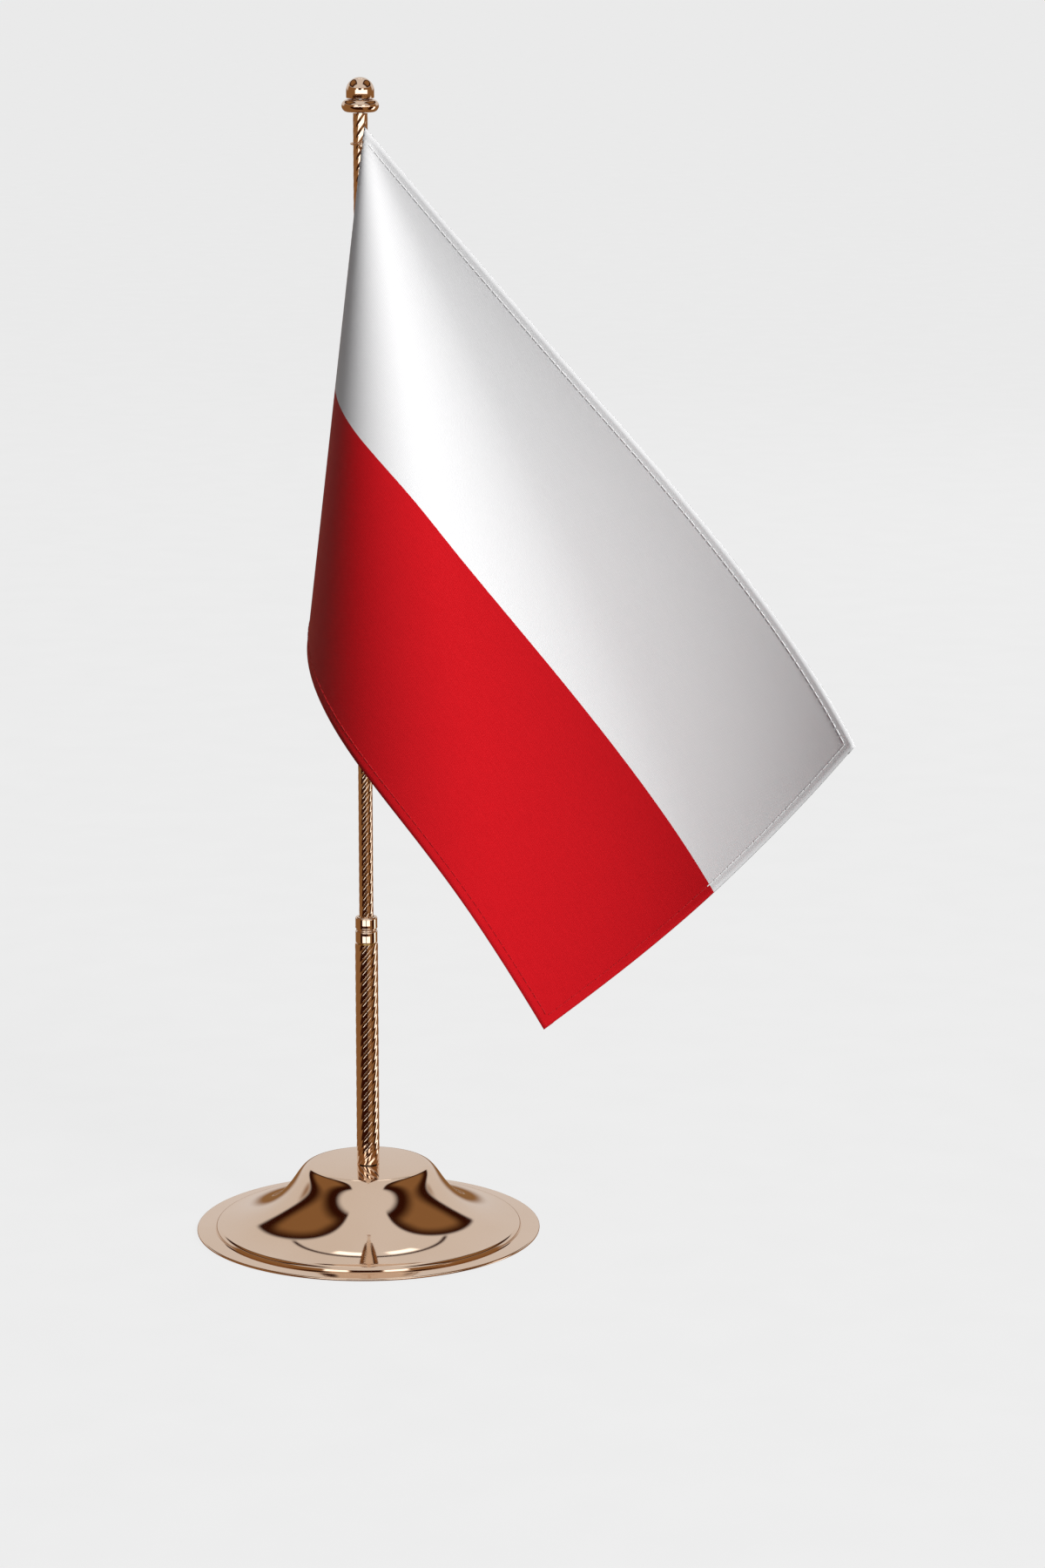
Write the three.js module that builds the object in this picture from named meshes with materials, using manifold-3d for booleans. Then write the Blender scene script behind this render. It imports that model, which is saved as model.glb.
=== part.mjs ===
// Telescopic desk flag stand: weighted round base, two-stage pole, finial and one draped flag.
// Millimetres, +Z up. The origin is the centre of the felt's underside; the flag flies towards +X.
import * as THREE from 'three';
import { mergeVertices } from 'three/addons/utils/BufferGeometryUtils.js';
import Module from 'manifold-3d';

const wasm = await Module();
wasm.setup();

// ---- driving dimensions ----
const baseRadius = 50;          // outer edge of the flat lip
const baseHeight = 20;          // flat top the pole stands on
const baseWall = 0.8;           // spun sheet
const lipWidth = 5.1;           // flat ring outside the bead
const lipUnderside = 0.4;       // the felt holds the lip this far off the table
const beadRise = 1.5;           // bead crest above the lip's upper face
const beadWidth = 1.8;          // crest to outer foot
const beadShoulder = [0.5, 0.45]; // the bead's rounded corner, in from its foot and down from its crest
const lipEdge = 0.3;            // bevel of the lip's rim
const plateauRadius = 16.5;     // flat top before it rolls over
const feltMargin = 8;           // felt stops this far inside the base's edge
const feltThickness = 1.2;
const plateMargin = 11.5;       // closing plate stops this far inside the base's edge
const plateThickness = 0.6;
const plateHoleMargin = 2;      // hole round the washer, for the tool
const ballastMargin = 19;       // ballast stops this far inside the base's edge
const ballastRim = 1.0;         // ballast thickness at its rim
const bodyGap = 0.3;            // face-to-face gap between pieces that touch

const boltRadius = 2.0;         // M4
const boltHeadAcross = 7.0;     // across flats
const boltHeadHeight = 2.8;
const washerRadius = 5.0;
const washerThickness = 0.8;
const boltClearance = 0.25;
const boltEndGap = 2.5;         // bolt's tip stops this far below the foot plug's end
const threadGap = 0.1;          // round the bolt, inside the foot plug
const washerLevel = 8.0;        // seat inside the ballast

const lowerTubeRadius = 3.3;
const lowerTubeWall = 0.7;
const lowerTubeTop = 86.1;
const footPlugLength = 11;
const plugEnd = 1.5;            // closed end of each threaded plug
const ferruleStep = 0.15;       // the ferrule is this much slimmer than the lower tube
const ferruleHeight = 7.6;
const ferruleLip = 0.5;         // how far the rolled mouth turns in over the bush
const grooveDepth = 0.3;
const grooveHeight = 0.7;
const ferruleEdge = 0.5;        // bevel of the ferrule's top rim
const mouthGap = 0.1;           // more clearance at the ferrule's mouth than in the bush

const upperTubeRadius = 2.05;
const upperTubeWall = 0.45;
const slideClearance = 0.08;    // radial, between parts that slide or turn
const bushHeight = 5.0;
const sleeveLength = 8;         // split friction sleeve
const splitWidth = 0.7;
const tailEndLength = 2.0;      // head of the tail plug below the friction sleeve
const tailNeckLength = 16;      // neck above that head, through the sleeve and into the tube
const tailNeckGap = 0.25;       // round the tail plug's neck, inside the upper tube
const poleTop = 323.0;          // top end of the upper tube
const topPlugLength = 9;

const flangeRadius = 5.2;
const flangeHeight = 3.5;
const capRadius = 3.9;
const capHeight = 5.8;
const studRadius = 1.0;
const studLength = 9;
const capCrown = 2.2;           // metal over the cap's threaded hole
const capEdge = 0.2;            // bevel of the cap's lower rim
const capSideShare = 0.36;      // straight side, as a share of the cap's height

const flagWidth = 115;          // along the pole
const flagLength = 230;
const clothThickness = 0.8;
const flagTop = 319.7;
const flagApex = [1.2, -4.5];   // top hoist corner in plan, in front of the pole
const ringWire = 0.3;           // wire radius of the hoist rings
const ringInset = 5;            // rings sit this far from the hoist's ends
const ringCount = 3;

const roundSegments = 32;
const wideSegments = 64;

// ---- materials ----
const metalColour = 0xb98d68;
function finish(colour, roughness, metalness) {
  return new THREE.MeshStandardMaterial({ color: colour, roughness, metalness });
}
const plated = () => finish(metalColour, 0.12, 1.0);
const steel = () => finish(0x9a9da0, 0.4, 1.0);
const castIron = () => finish(0x3a3b3d, 0.7, 0.6);
const brass = () => finish(0xb59a4a, 0.35, 1.0);
const nylon = () => finish(0xe6e2d8, 0.5, 0.0);
const felt = () => finish(0x24262a, 0.95, 0.0);
const cloth = () => finish(0xd01f2a, 0.6, 0.0);

// ---- helpers ----
const stand = new THREE.Group();

function place(parent, name, geometry, material, z = 0) {
  const mesh = new THREE.Mesh(geometry, material);
  mesh.name = name;
  mesh.position.z = z;
  parent.add(mesh);
  return mesh;
}

// A closed outline of [radius, height] pairs turned about +Z.
function turned(outline, segments = roundSegments) {
  const points = outline.map(([r, z]) => new THREE.Vector2(r, z));
  points.push(points[0].clone());
  const geometry = new THREE.LatheGeometry(points, segments);
  geometry.rotateX(Math.PI / 2);
  return closed(geometry);
}

// Merged vertices, zero-area faces dropped, faces pointing out.
function closed(geometry) {
  geometry.deleteAttribute('normal');
  geometry.deleteAttribute('uv');
  const merged = mergeVertices(geometry, 1e-5);
  const position = merged.attributes.position;
  const index = Array.from(merged.index.array);
  const kept = [];
  let volume = 0;
  const [a, b, c] = [new THREE.Vector3(), new THREE.Vector3(), new THREE.Vector3()];
  for (let i = 0; i < index.length; i += 3) {
    const [p, q, r] = index.slice(i, i + 3);
    if (p === q || q === r || r === p) continue;
    kept.push(p, q, r);
    a.fromBufferAttribute(position, p);
    b.fromBufferAttribute(position, q);
    c.fromBufferAttribute(position, r);
    volume += a.dot(b.cross(c)) / 6;
  }
  if (volume < 0) {
    for (let i = 0; i < kept.length; i += 3) [kept[i + 1], kept[i + 2]] = [kept[i + 2], kept[i + 1]];
  }
  const result = new THREE.BufferGeometry();
  result.setAttribute('position', position);
  result.setIndex(kept);
  return result;
}

function tube(inner, outer, low, high, segments = roundSegments) {
  return turned([[inner, low], [outer, low], [outer, high], [inner, high]], segments);
}

function rod(radius, low, high, segments = roundSegments) {
  return turned([[0, low], [radius, low], [radius, high], [0, high]], segments);
}

function solid(geometry) {
  const merged = closed(geometry);
  const vertProperties = new Float32Array(merged.attributes.position.array);
  const triVerts = new Uint32Array(merged.index.array);
  return new wasm.Manifold(new wasm.Mesh({ numProp: 3, vertProperties, triVerts }));
}

function meshOf(manifold) {
  const { vertProperties, triVerts } = manifold.getMesh();
  const geometry = new THREE.BufferGeometry();
  geometry.setAttribute('position', new THREE.BufferAttribute(vertProperties, 3));
  geometry.setIndex(new THREE.BufferAttribute(triVerts, 1));
  return geometry;
}

// ---- base ----
const feltRadius = baseRadius - feltMargin;
const plateRadius = baseRadius - plateMargin;
const ballastRadius = baseRadius - ballastMargin;
const lipTop = lipUnderside + baseWall;
const beadRadius = baseRadius - lipWidth;
const beadTop = lipTop + beadRise;
const beadCrest = beadRadius - beadWidth;

// Bell section from the flat top to the bead crest, lowered and drawn in by `inset` for the inside.
function bellSection(inset, count) {
  const waist = (beadCrest - plateauRadius) / 26.5;
  const curve = new THREE.CubicBezierCurve(
    new THREE.Vector2(plateauRadius, baseHeight),
    new THREE.Vector2(plateauRadius + 6 * waist, baseHeight - 0.5),
    new THREE.Vector2(plateauRadius + 5 * waist, beadTop + 0.15 * (baseHeight - beadTop)),
    new THREE.Vector2(beadCrest, beadTop),
  );
  return curve.getPoints(count).map((point, i) => {
    const tangent = curve.getTangent(i / count);
    return [point.x + tangent.y * inset, point.y - tangent.x * inset];
  });
}

const bellSteps = 10;
const outerBell = bellSection(0, bellSteps);
const innerBell = bellSection(baseWall, bellSteps);
const boltHole = boltRadius + boltClearance;
const shellOutline = [
  [boltHole, baseHeight],
  ...outerBell,
  [beadRadius - beadShoulder[0], beadTop - beadShoulder[1]],
  [beadRadius, lipTop],
  [baseRadius - lipEdge, lipTop],
  [baseRadius, lipTop - lipEdge],
  [baseRadius, lipUnderside],
  [beadRadius - baseWall, lipUnderside],
  [beadRadius - beadShoulder[0] - baseWall, beadTop - beadShoulder[1] - baseWall],
  ...innerBell.reverse(),
  [boltHole, baseHeight - baseWall],
];
place(stand, 'base_shell', turned(shellOutline, wideSegments), plated());

place(stand, 'base_felt_pad', rod(feltRadius, 0, feltThickness, wideSegments), felt());

const plateBottom = feltThickness + bodyGap;
const plateTop = plateBottom + plateThickness;
const plateHole = washerRadius + plateHoleMargin;
const closingPlate = tube(plateHole, plateRadius, plateBottom, plateTop, wideSegments);
place(stand, 'base_closing_plate', closingPlate, steel());

// Ballast fills the bell under the sheet, down to the closing plate.
const ballastBottom = plateTop + bodyGap;
const ballastSkin = bellSection(baseWall + bodyGap, bellSteps)
  .filter(([r, z]) => r < ballastRadius && z > ballastBottom + ballastRim);
const ballastTop = baseHeight - baseWall - bodyGap;
const washerPocket = washerRadius + bodyGap;
const ballastOutline = [
  [boltHole, ballastTop],
  ...ballastSkin,
  [ballastRadius, ballastBottom + ballastRim],
  [ballastRadius, ballastBottom],
  [washerPocket, ballastBottom],
  [washerPocket, washerLevel],
  [boltHole, washerLevel],
];
place(stand, 'base_ballast', turned(ballastOutline, wideSegments), castIron());

const washerTop = washerLevel - bodyGap;
const washerBottom = washerTop - washerThickness;
place(stand, 'clamp_washer', tube(boltHole, washerRadius, washerBottom, washerTop), steel());

const boltHeadTop = washerBottom - bodyGap;
const boltHeadBottom = boltHeadTop - boltHeadHeight;
const boltTip = baseHeight + footPlugLength - boltEndGap;
const hexHead = new THREE.CylinderGeometry(
  boltHeadAcross / Math.sqrt(3), boltHeadAcross / Math.sqrt(3), boltHeadHeight, 6);
hexHead.rotateX(Math.PI / 2);
hexHead.translate(0, 0, (boltHeadTop + boltHeadBottom) / 2);
const shank = rod(boltRadius, (boltHeadBottom + boltHeadTop) / 2, boltTip);
place(stand, 'clamp_bolt', meshOf(solid(hexHead).add(solid(shank))), steel());

// ---- lower pole ----
const poleFoot = baseHeight + bodyGap;
const lowerBore = lowerTubeRadius - lowerTubeWall;
place(stand, 'lower_tube', tube(lowerBore, lowerTubeRadius, poleFoot, lowerTubeTop), plated());

const plugRadius = lowerBore - bodyGap;
const plugTop = poleFoot + footPlugLength;
place(stand, 'foot_plug', turned([
  [boltRadius + threadGap, poleFoot],
  [plugRadius, poleFoot],
  [plugRadius, plugTop],
  [0, plugTop],
  [0, plugTop - plugEnd],
  [boltRadius + threadGap, plugTop - plugEnd],
]), brass());

const ferruleBottom = lowerTubeTop + bodyGap;
const ferruleTop = ferruleBottom + ferruleHeight;
const ferruleBore = lowerBore;
const ferruleRadius = lowerTubeRadius - ferruleStep;
const mouthRadius = upperTubeRadius + slideClearance + mouthGap;
const grooveLevel = ferruleBottom + ferruleHeight * 0.5;
place(stand, 'ferrule', turned([
  [ferruleBore, ferruleBottom],
  [ferruleRadius, ferruleBottom],
  [ferruleRadius, grooveLevel - grooveHeight / 2],
  [ferruleRadius - grooveDepth, grooveLevel],
  [ferruleRadius, grooveLevel + grooveHeight / 2],
  [ferruleRadius, ferruleTop - ferruleEdge],
  [ferruleRadius - ferruleEdge, ferruleTop],
  [mouthRadius, ferruleTop],
  [mouthRadius, ferruleTop - ferruleLip],
  [ferruleBore, ferruleTop - ferruleLip],
]), plated());

const bushTop = ferruleTop - ferruleLip - bodyGap;
const bushBottom = bushTop - bushHeight;
const bushBore = (upperTubeRadius + slideClearance) / Math.cos(Math.PI / roundSegments);
const guideBush = tube(bushBore, ferruleBore - slideClearance, bushBottom, bushTop);
place(stand, 'guide_bush', guideBush, nylon());

// ---- friction slider ----
const upperBore = upperTubeRadius - upperTubeWall;
const tailNeckRadius = upperBore - tailNeckGap;
const sleeveTop = bushBottom - bodyGap;         // the bush stops the sleeve when drawn right out
const tubeBottom = sleeveTop + bodyGap;
const sleeveBottom = sleeveTop - sleeveLength;
const sleeveBore = (tailNeckRadius + slideClearance) / Math.cos(Math.PI / roundSegments);
const sleeveBody = tube(sleeveBore, lowerBore - slideClearance, sleeveBottom, sleeveTop);
const split = new THREE.BoxGeometry(splitWidth, lowerBore * 2, sleeveLength * 2);
split.translate(0, lowerBore, (sleeveTop + sleeveBottom) / 2);
place(stand, 'friction_sleeve', meshOf(solid(sleeveBody).subtract(solid(split))), brass());

// ---- upper pole ----
const upperPole = new THREE.Group();
stand.add(upperPole);
place(upperPole, 'upper_tube', tube(upperBore, upperTubeRadius, tubeBottom, poleTop), plated());

const tailHeadTop = sleeveBottom - bodyGap;
const tailBottom = tailHeadTop - tailEndLength;
const tailHeadRadius = lowerBore - slideClearance * 3;
place(upperPole, 'tail_plug', turned([
  [0, tailBottom],
  [tailHeadRadius, tailBottom],
  [tailHeadRadius, tailHeadTop],
  [tailNeckRadius, tailHeadTop],
  [tailNeckRadius, tailHeadTop + tailNeckLength],
  [0, tailHeadTop + tailNeckLength],
]), brass());

const topPlugRadius = upperBore - slideClearance;
const threadBore = studRadius + slideClearance;
place(upperPole, 'top_plug', turned([
  [threadBore, poleTop],
  [topPlugRadius, poleTop],
  [topPlugRadius, poleTop - topPlugLength],
  [0, poleTop - topPlugLength],
  [0, poleTop - topPlugLength + plugEnd],
  [threadBore, poleTop - topPlugLength + plugEnd],
]), brass());

const flangeBottom = poleTop + bodyGap;
const flangeTop = flangeBottom + flangeHeight;
const flangeRound = flangeHeight / 2;
const flangeEdge = [];
const flangeSteps = 6;
for (let i = 0; i <= flangeSteps; i += 1) {
  const angle = -Math.PI / 2 + (i / flangeSteps) * Math.PI;
  flangeEdge.push([
    flangeRadius - flangeRound + flangeRound * Math.cos(angle),
    flangeBottom + flangeRound + flangeRound * Math.sin(angle),
  ]);
}
place(upperPole, 'finial_flange',
  turned([[threadBore, flangeBottom], ...flangeEdge, [threadBore, flangeTop]]), plated());

const capBottom = flangeTop + bodyGap;
const capSide = capHeight * capSideShare;
const capDome = [];
const domeSteps = 7;
for (let i = 0; i <= domeSteps; i += 1) {
  const angle = (i / domeSteps) * (Math.PI / 2);
  capDome.push([
    i === domeSteps ? 0 : capRadius * Math.cos(angle),
    capBottom + capSide + (capHeight - capSide) * Math.sin(angle),
  ]);
}
const capSocket = capHeight - capCrown;
place(upperPole, 'finial_cap', turned([
  [threadBore, capBottom],
  [capRadius - capEdge, capBottom],
  ...capDome,
  [0, capBottom + capSocket],
  [threadBore, capBottom + capSocket],
]), plated());

const studTop = capBottom + capSocket - bodyGap;
place(upperPole, 'finial_stud', rod(studRadius, studTop - studLength, studTop, 24), steel());

// ---- flag ----
const flag = new THREE.Group();
flag.position.z = flagTop;
stand.add(flag);

// The cloth is a cone-like sheet whose rulings fan out from the top hoist corner. Seen from above
// its section is a run of arcs, [length, turn] in degrees: a pleat to the right, back across the
// front of the pole, a roll at the left and the long face that flies out to the right.
const firstHeading = 21.9;
const foldArcs = [
  [7.8, 0],
  [9.1, -194],
  [10.3, 0],
  [7.4, 79],
  [12.8, 45.9],
  [12.8, 67.7],
  [16.0, -43.8],
  [13.8, -11.9],
];
const lift = 0.7;               // degrees the cloth stands above its ruling for each 100 mm out
const curl = 4.9;               // degrees the fly swings forward, by the square of the next 100 mm
const curlStart = 110;
const faceStart = 34.6;         // angle of the ruling at the left roll
const openFrom = 8;             // the pleat is flat this near the hung corner...
const openTo = 34;              // ...and fully open this far from it
const sectionSteps = 360;

// Degrees the section has turned from its start to `angle`.
function turnedBy(angle) {
  let total = 0;
  let start = 0;
  for (const [length, turn] of foldArcs) {
    total += turn * THREE.MathUtils.clamp((angle - start) / length, 0, 1);
    start += length;
  }
  return total;
}

// Unit vectors of the rulings, from the hoist (straight down) to the top edge.
function rulings() {
  const direction = new THREE.Vector3(0, 0, -1);
  const start = THREE.MathUtils.degToRad(firstHeading);
  const heading = new THREE.Vector3(Math.cos(start), Math.sin(start), 0);
  const list = [direction.clone()];
  const step = THREE.MathUtils.degToRad(90 / sectionSteps);
  for (let i = 0; i < sectionSteps; i += 1) {
    const from = (i * 90) / sectionSteps;
    const to = ((i + 1) * 90) / sectionSteps;
    const halfBend = THREE.MathUtils.degToRad(turnedBy(to) - turnedBy(from)) / 2;
    heading.applyAxisAngle(direction, -halfBend);
    const axis = direction.clone().cross(heading).normalize();
    direction.applyAxisAngle(axis, step).normalize();
    heading.applyAxisAngle(axis, step);
    heading.applyAxisAngle(direction, -halfBend);
    list.push(direction.clone());
  }
  return list;
}
const rulingList = rulings();

// A point of the sheet at distance `reach` along the ruling `angle` degrees from the hoist.
function clothPoint(angle, reach) {
  const at = Math.min((angle / 90) * sectionSteps, sectionSteps - 1e-6);
  const i = Math.floor(at);
  const fan = rulingList[i].clone().lerp(rulingList[i + 1], at - i).normalize();
  const early = rulingList[0].clone()
    .lerp(rulingList[Math.round((faceStart / 90) * sectionSteps)], Math.min(angle / faceStart, 1));
  const opened = THREE.MathUtils.smoothstep(reach, openFrom, openTo);
  if (angle < faceStart) fan.lerp(early, 1 - opened).normalize();
  const across = Math.hypot(fan.x, fan.y);
  const share = THREE.MathUtils.clamp((angle - faceStart) / (90 - faceStart), 0, 1);
  const raised = THREE.MathUtils.degToRad(lift) * (reach / 100) * share;
  const tilt = Math.atan2(across, -fan.z) + raised;
  const scale = across > 1e-9 ? Math.sin(tilt) / across : 0;
  const past = Math.max(reach - curlStart, 0) / 100;
  const swing = -THREE.MathUtils.degToRad(curl) * past * past * share;
  const out = new THREE.Vector3(reach * fan.x * scale, reach * fan.y * scale, -reach * Math.cos(tilt));
  out.applyAxisAngle(new THREE.Vector3(0, 0, 1), swing);
  return out.add(new THREE.Vector3(flagApex[0], flagApex[1], 0));
}

// Closed sheet: rulings crossed by rings of equal share, offset to both sides of the mid surface.
function clothSolid() {
  const cornerAngle = THREE.MathUtils.radToDeg(Math.atan2(flagLength, flagWidth));
  const angles = [];
  for (let a = 0; a < 60; a += 2) angles.push(a);
  for (let a = 60; a <= 90; a += 5) angles.push(a);
  angles.push(cornerAngle);
  angles.sort((p, q) => p - q);
  const shares = [0.04, 0.12, 0.25, 0.45, 0.7, 1];
  const mid = angles.map((angle) => {
    const radians = THREE.MathUtils.degToRad(angle);
    const reach = angle < cornerAngle ? flagWidth / Math.cos(radians) : flagLength / Math.sin(radians);
    return shares.map((share) => clothPoint(angle, share * reach));
  });
  const columns = angles.length;
  const rows = shares.length;
  const positions = [];
  for (const side of [1, -1]) {
    for (let i = 0; i < columns; i += 1) {
      for (let j = 0; j < rows; j += 1) {
        const alongFan = mid[Math.min(i + 1, columns - 1)][j].clone().sub(mid[Math.max(i - 1, 0)][j]);
        const outward = mid[i][Math.min(j + 1, rows - 1)].clone().sub(mid[i][Math.max(j - 1, 0)]);
        const normal = alongFan.cross(outward).normalize();
        const point = mid[i][j].clone().addScaledVector(normal, side * clothThickness / 2);
        positions.push(point.x, point.y, point.z);
      }
    }
  }
  const back = columns * rows;
  const index = [];
  const quad = (a, b, c, d) => index.push(a, b, c, a, c, d);
  const at = (i, j) => i * rows + j;
  for (let i = 0; i < columns - 1; i += 1) {
    for (let j = 0; j < rows - 1; j += 1) {
      quad(at(i, j), at(i + 1, j), at(i + 1, j + 1), at(i, j + 1));
      quad(back + at(i, j), back + at(i, j + 1), back + at(i + 1, j + 1), back + at(i + 1, j));
    }
    quad(at(i, 0), back + at(i, 0), back + at(i + 1, 0), at(i + 1, 0));
    quad(at(i, rows - 1), at(i + 1, rows - 1), back + at(i + 1, rows - 1), back + at(i, rows - 1));
  }
  for (let j = 0; j < rows - 1; j += 1) {
    quad(at(0, j), at(0, j + 1), back + at(0, j + 1), back + at(0, j));
    const last = columns - 1;
    quad(at(last, j), back + at(last, j), back + at(last, j + 1), at(last, j + 1));
  }
  const geometry = new THREE.BufferGeometry();
  geometry.setAttribute('position', new THREE.BufferAttribute(new Float32Array(positions), 3));
  geometry.setIndex(index);
  return closed(geometry);
}
place(flag, 'flag_cloth', clothSolid(), cloth());

// Wire rings round the pole that reach forward to the hoist edge.
const hoistDistance = Math.hypot(flagApex[0], flagApex[1]);
const ringBack = upperTubeRadius + bodyGap + ringWire;
const ringFront = hoistDistance - clothThickness / 2 - bodyGap - ringWire;
const ringPath = (ringBack + ringFront) / 2;
const ringForward = (ringFront - ringBack) / 2 / hoistDistance;
for (let k = 0; k < ringCount; k += 1) {
  const ring = new THREE.TorusGeometry(ringPath, ringWire, 6, 24);
  ring.translate(flagApex[0] * ringForward, flagApex[1] * ringForward, 0);
  const level = -ringInset - (k * (flagWidth - 2 * ringInset)) / (ringCount - 1);
  place(flag, `hoist_ring_${k + 1}`, closed(ring), plated(), level);
}

export default stand;
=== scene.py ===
# Telescopic desk flag stand, put together from the table up: weighted bell base, two-stage
# rope-twist pole, domed finial, and a white-over-red satin flag hung on wire rings.
import math

import bmesh
import bpy
from mathutils import Matrix, Vector


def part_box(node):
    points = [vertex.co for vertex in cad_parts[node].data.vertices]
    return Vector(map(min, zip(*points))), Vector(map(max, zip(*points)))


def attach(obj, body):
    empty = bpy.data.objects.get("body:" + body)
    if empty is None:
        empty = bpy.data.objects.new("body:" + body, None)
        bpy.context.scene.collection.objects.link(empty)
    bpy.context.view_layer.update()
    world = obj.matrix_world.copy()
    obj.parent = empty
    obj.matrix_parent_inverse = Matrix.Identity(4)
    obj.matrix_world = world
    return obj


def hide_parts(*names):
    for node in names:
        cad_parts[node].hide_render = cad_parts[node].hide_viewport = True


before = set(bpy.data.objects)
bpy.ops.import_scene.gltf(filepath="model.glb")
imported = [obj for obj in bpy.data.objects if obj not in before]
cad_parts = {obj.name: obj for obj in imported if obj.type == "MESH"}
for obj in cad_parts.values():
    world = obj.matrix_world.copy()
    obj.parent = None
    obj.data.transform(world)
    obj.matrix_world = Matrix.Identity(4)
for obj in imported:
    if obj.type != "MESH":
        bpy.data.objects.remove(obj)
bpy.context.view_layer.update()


# ---- base shell ----
# One disc of sheet metal spun over a former: flat top, bell flank, raised bead, flat lip and a
# rounded rim. It is open underneath, polished all over and plated a mirror copper-gold.
MM = 0.001
SHELL_WALL = 0.8
LIP_WIDTH = 5.1
PLATEAU_R = 16.5
BOLT_HOLE_R = 2.25
BEAD_RISE = 1.5
BEAD_WIDTH = 1.8
BEAD_EDGE_R = 1.35
BEAD_EDGE_OUT = 0.15
BEAD_FOOT = (0.1, 0.06)         # out from the bead's edge and up from the lip, where the two meet
LIP_START = 0.15
HOLLOW_FOOT = 0.6
HOLLOW_TOP = 0.9
SHOULDER_DROP = 0.5
SHOULDER_REACH = 6 / 26.5       # shares of the flank's run that its curve's handles reach
WAIST_REACH = 5 / 26.5
WAIST_RISE = 0.15               # share of the flank's height
PLATING_LIGHT = (0.86, 0.69, 0.55)
PLATING_DARK = (0.82, 0.64, 0.49)


def new_material(name):
    material = bpy.data.materials.new(name)
    material.use_nodes = True
    return material, material.node_tree.nodes, material.node_tree.links


def object_noise(nodes, links, scale, detail=3.0, stretch=(1.0, 1.0, 1.0)):
    """Noise on the piece's own object coordinates, drawn out along the axes by `stretch`."""
    place = nodes.new("ShaderNodeTexCoord")
    mapping = nodes.new("ShaderNodeMapping")
    mapping.inputs["Scale"].default_value = stretch
    noise = nodes.new("ShaderNodeTexNoise")
    noise.inputs["Scale"].default_value = scale
    noise.inputs["Detail"].default_value = detail
    links.new(place.outputs["Object"], mapping.inputs["Vector"])
    links.new(mapping.outputs["Vector"], noise.inputs["Vector"])
    return noise.outputs["Fac"]


def ramp_between(nodes, links, source, low, high, start=0.35, end=0.65):
    """Colour ramp from `low` to `high` over part of the source's range."""
    ramp = nodes.new("ShaderNodeValToRGB")
    ramp.color_ramp.elements[0].position = start
    ramp.color_ramp.elements[0].color = (*low, 1.0)
    ramp.color_ramp.elements[1].position = end
    ramp.color_ramp.elements[1].color = (*high, 1.0)
    links.new(source, ramp.inputs["Fac"])
    return ramp.outputs["Color"]


def add_bump(nodes, links, height, strength, distance):
    bump = nodes.new("ShaderNodeBump")
    bump.inputs["Strength"].default_value = strength
    bump.inputs["Distance"].default_value = distance
    links.new(height, bump.inputs["Height"])
    links.new(bump.outputs["Normal"], nodes["Principled BSDF"].inputs["Normal"])


def metal(name, light, dark, roughness, grain_scale, scratch, grain=(1.0, 1.0, 1.0)):
    """Polished or turned metal: slow colour drift, fine grain in the roughness, hairline bump."""
    material, nodes, links = new_material(name)
    shader = nodes["Principled BSDF"]
    shader.inputs["Metallic"].default_value = 1.0
    drift = object_noise(nodes, links, scale=25.0)
    links.new(ramp_between(nodes, links, drift, dark, light), shader.inputs["Base Color"])
    hairs = object_noise(nodes, links, grain_scale, detail=6.0, stretch=grain)
    spread = nodes.new("ShaderNodeMapRange")
    spread.inputs["To Min"].default_value = roughness * 0.6
    spread.inputs["To Max"].default_value = roughness * 1.5
    links.new(hairs, spread.inputs["Value"])
    links.new(spread.outputs["Result"], shader.inputs["Roughness"])
    add_bump(nodes, links, hairs, strength=scratch, distance=0.02 * MM)
    return material


def finished(name, bm, material, body, smooth_angle=35.0):
    """Turns a bmesh into a piece that rides on a body, smooth except over sharp edges."""
    for edge in bm.edges:
        sharp = len(edge.link_faces) == 2 and edge.calc_face_angle(0.0) > math.radians(smooth_angle)
        edge.smooth = not sharp
    for face in bm.faces:
        face.smooth = True
    mesh = bpy.data.meshes.new(name)
    bm.to_mesh(mesh)
    bm.free()
    mesh.materials.append(material)
    piece = bpy.data.objects.new(name, mesh)
    bpy.context.scene.collection.objects.link(piece)
    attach(piece, body)
    return piece


def turned_piece(name, outline, material, body, steps=128):
    """A lathe-turned piece: closed outline of (radius, height) in mm spun round the pole's axis."""
    bm = bmesh.new()
    points = [bm.verts.new((radius * MM, 0.0, height * MM)) for radius, height in outline]
    edges = [bm.edges.new((points[k - 1], points[k])) for k in range(len(points))]
    bmesh.ops.spin(bm, geom=points + edges, cent=(0, 0, 0), axis=(0, 0, 1), angle=math.tau,
                   steps=steps, use_merge=True, use_duplicate=False)
    bmesh.ops.remove_doubles(bm, verts=bm.verts[:], dist=1e-7)
    bmesh.ops.dissolve_degenerate(bm, dist=1e-7, edges=bm.edges[:])
    bmesh.ops.recalc_face_normals(bm, faces=bm.faces[:])
    return finished(name, bm, material, body)


def arc_points(centre, radius, start, end, steps):
    """Points of a circular arc in the section plane, angles in degrees."""
    turns = [math.radians(start + (end - start) * k / steps) for k in range(steps + 1)]
    return [(centre[0] + radius * math.cos(turn), centre[1] + radius * math.sin(turn)) for turn in turns]


shell_low, shell_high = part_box("base_shell")
shell_r = shell_high.x / MM
shell_top = shell_high.z / MM
lip_bottom = shell_low.z / MM
lip_top = lip_bottom + SHELL_WALL
bead_outer = shell_r - LIP_WIDTH
bead_crest_r = bead_outer - BEAD_WIDTH
bead_top = lip_top + BEAD_RISE
flank_run = bead_crest_r - PLATEAU_R


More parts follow.
